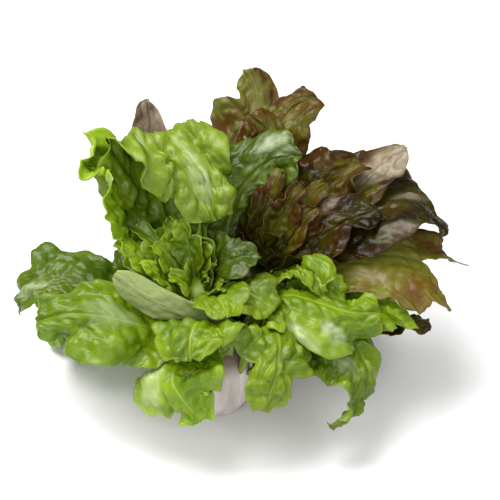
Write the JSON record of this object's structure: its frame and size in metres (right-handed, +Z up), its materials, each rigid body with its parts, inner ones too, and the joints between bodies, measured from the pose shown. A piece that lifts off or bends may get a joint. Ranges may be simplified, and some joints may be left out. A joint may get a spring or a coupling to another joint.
{
  "type": "oak-leaf lettuce",
  "caption": "Loose head of oak-leaf lettuce, green leaves in front and red-brown leaves behind, on a pale cut stem base.",
  "frame": {"origin": "centre of the stem base's flat cut face, which the head rests on", "axes": "+Z up along the stem, +X towards the red-brown leaf tips at the side, -Y towards the front of the head"},
  "size_m": [0.26, 0.181, 0.1667],
  "materials": {
    "base": "pale, smooth and slightly moist stem flesh with a faint pink tone",
    "green_leaf": "semi-gloss crinkled green leaf with paler veins",
    "green_heart": "semi-gloss young yellow-green leaf",
    "red_leaf": "glossy dark red-brown leaf over olive green",
    "red_heart": "glossy dark olive and red-brown young leaf"
  },
  "bodies": {
    "root": {"green_heart": "green_heart", "green_leaf_back_left": "green_leaf", "green_leaf_behind": "green_leaf", "green_leaf_curled": "green_leaf", "green_leaf_far_left": "green_leaf", "green_leaf_folded_over": "green_leaf", "green_leaf_forked": "green_leaf", "green_leaf_front": "green_leaf", "green_leaf_front_left": "green_leaf", "green_leaf_front_middle": "green_leaf", "green_leaf_front_right": "green_leaf", "green_leaf_hidden_back": "green_leaf", "green_leaf_hidden_left": "green_leaf", "green_leaf_left": "green_leaf", "green_leaf_right": "green_leaf", "green_leaf_rolled": "green_leaf", "red_heart": "red_heart", "red_leaf_arrow": "red_leaf", "red_leaf_back_tip": "red_leaf", "red_leaf_cupped": "red_leaf", "red_leaf_fan": "red_leaf", "red_leaf_far_right": "red_leaf", "red_leaf_hidden_back": "red_leaf", "red_leaf_hidden_right": "red_leaf", "red_leaf_low_right": "red_leaf", "red_leaf_pale_tip": "red_leaf", "red_leaf_top_front": "red_leaf", "red_leaf_top_left": "red_leaf", "red_leaf_top_right": "red_leaf", "red_leaf_under_right": "red_leaf", "stem_base": "base"}
  },
  "joints": []
}
